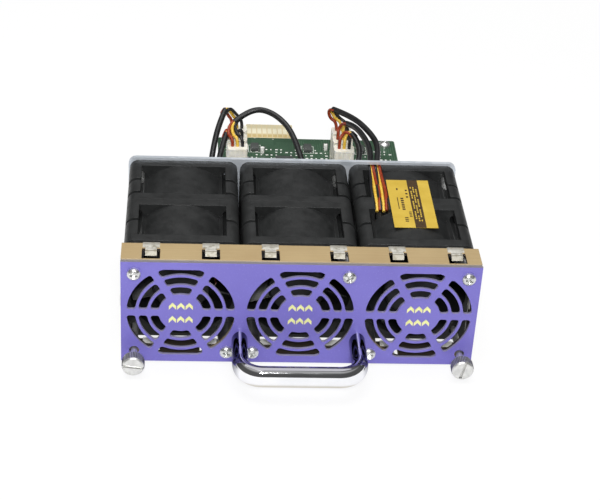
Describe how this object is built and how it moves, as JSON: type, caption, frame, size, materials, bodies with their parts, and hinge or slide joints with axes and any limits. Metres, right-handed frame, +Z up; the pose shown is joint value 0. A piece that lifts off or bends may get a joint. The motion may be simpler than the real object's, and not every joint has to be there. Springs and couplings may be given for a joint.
{
  "type": "cooling fan tray",
  "caption": "Hot-swap cooling fan tray: grille plate with handle and captive thumbscrews, fan pairs back to back, and a rear board with an edge contact.",
  "frame": {"origin": "middle of the footprint, at the height of the lowest contact spring", "axes": "+X to the right seen from the grille, +Y from the handle to the board, +Z up"},
  "size_m": [0.1242, 0.1752, 0.0429],
  "materials": {
    "purple_paint": "satin",
    "bare_sheet": "satin",
    "spring_metal": "bright",
    "handle_chrome": "polished",
    "screw_steel": "bright",
    "spacer_aluminium": "satin",
    "spacer_brass": "satin",
    "fan_plastic": "matt",
    "motor_steel": "satin",
    "copper_wire": "satin",
    "zinc_sheet": "satin",
    "board_green": "gloss",
    "contact_gold": "polished",
    "chip_black": "matt",
    "connector_nylon": "satin",
    "lead_sleeve": "satin",
    "wire_yellow": "satin",
    "label_yellow": "matt"
  },
  "bodies": {
    "tray": {"board_headers": "connector_nylon", "board_parts": "chip_black", "board_screws": "screw_steel", "board_standoffs": "spacer_brass", "contact_frame": "bare_sheet", "contact_springs_bottom": "spring_metal", "contact_springs_side": "spring_metal", "contact_springs_top": "spring_metal", "edge_contacts": "contact_gold", "fan_board": "board_green", "fan_housing_left_front": "fan_plastic", "fan_housing_left_rear": "fan_plastic", "fan_housing_middle_front": "fan_plastic", "fan_housing_middle_rear": "fan_plastic", "fan_housing_right_front": "fan_plastic", "fan_housing_right_rear": "fan_plastic", "fan_label": "label_yellow", "fan_screws_front": "screw_steel", "fan_screws_rear": "screw_steel", "fan_spacers": "spacer_aluminium", "fan_wires": "wire_yellow", "front_plate": "purple_paint", "handle": "handle_chrome", "handle_screws": "screw_steel", "lead_left_a": "lead_sleeve", "lead_left_b": "lead_sleeve", "lead_middle_a": "lead_sleeve", "lead_middle_b": "lead_sleeve", "lead_plugs": "connector_nylon", "lead_right_a": "lead_sleeve", "lead_right_b": "lead_sleeve", "motor_boards": "board_green", "plug_wires": "wire_yellow", "rear_bracket": "zinc_sheet", "shaft_bearings": "motor_steel", "stator_coils": "copper_wire", "stator_cores": "motor_steel"},
    "rotor_left_front": {"impeller_left_front": "fan_plastic", "rotor_core_left_front": "motor_steel"},
    "rotor_left_rear": {"impeller_left_rear": "fan_plastic", "rotor_core_left_rear": "motor_steel"},
    "rotor_middle_front": {"impeller_middle_front": "fan_plastic", "rotor_core_middle_front": "motor_steel"},
    "rotor_middle_rear": {"impeller_middle_rear": "fan_plastic", "rotor_core_middle_rear": "motor_steel"},
    "rotor_right_front": {"impeller_right_front": "fan_plastic", "rotor_core_right_front": "motor_steel"},
    "rotor_right_rear": {"impeller_right_rear": "fan_plastic", "rotor_core_right_rear": "motor_steel"},
    "thumbscrew_left_slide": {"thumbscrew_ring_left": "screw_steel"},
    "thumbscrew_left": {"thumbscrew_left": "screw_steel"},
    "thumbscrew_right_slide": {"thumbscrew_ring_right": "screw_steel"},
    "thumbscrew_right": {"thumbscrew_right": "screw_steel"}
  },
  "joints": [
    {"name": "rotor_left_front_spin", "type": "hinge", "parent": "tray", "child": "rotor_left_front", "pos_m": [-0.041, -0.02187, 0.02109], "axis": [0, 1, 0], "continuous": true},
    {"name": "rotor_left_rear_spin", "type": "hinge", "parent": "tray", "child": "rotor_left_rear", "pos_m": [-0.041, -0.02187, 0.02109], "axis": [0, 1, 0], "continuous": true},
    {"name": "rotor_middle_front_spin", "type": "hinge", "parent": "tray", "child": "rotor_middle_front", "pos_m": [0, -0.02187, 0.02109], "axis": [0, 1, 0], "continuous": true},
    {"name": "rotor_middle_rear_spin", "type": "hinge", "parent": "tray", "child": "rotor_middle_rear", "pos_m": [0, -0.02187, 0.02109], "axis": [0, 1, 0], "continuous": true},
    {"name": "rotor_right_front_spin", "type": "hinge", "parent": "tray", "child": "rotor_right_front", "pos_m": [0.041, -0.02187, 0.02109], "axis": [0, 1, 0], "continuous": true},
    {"name": "rotor_right_rear_spin", "type": "hinge", "parent": "tray", "child": "rotor_right_rear", "pos_m": [0.041, -0.02187, 0.02109], "axis": [0, 1, 0], "continuous": true},
    {"name": "thumbscrew_left_push", "type": "slide", "parent": "tray", "child": "thumbscrew_left_slide", "axis": [0, 1, 0], "range_m": [0, 0.0055]},
    {"name": "thumbscrew_left_turn", "type": "hinge", "parent": "thumbscrew_left_slide", "child": "thumbscrew_left", "pos_m": [-0.057, -0.06438, 0.00509], "axis": [0, 1, 0], "continuous": true},
    {"name": "thumbscrew_right_push", "type": "slide", "parent": "tray", "child": "thumbscrew_right_slide", "axis": [0, 1, 0], "range_m": [0, 0.0055]},
    {"name": "thumbscrew_right_turn", "type": "hinge", "parent": "thumbscrew_right_slide", "child": "thumbscrew_right", "pos_m": [0.057, -0.06438, 0.00509], "axis": [0, 1, 0], "continuous": true}
  ]
}
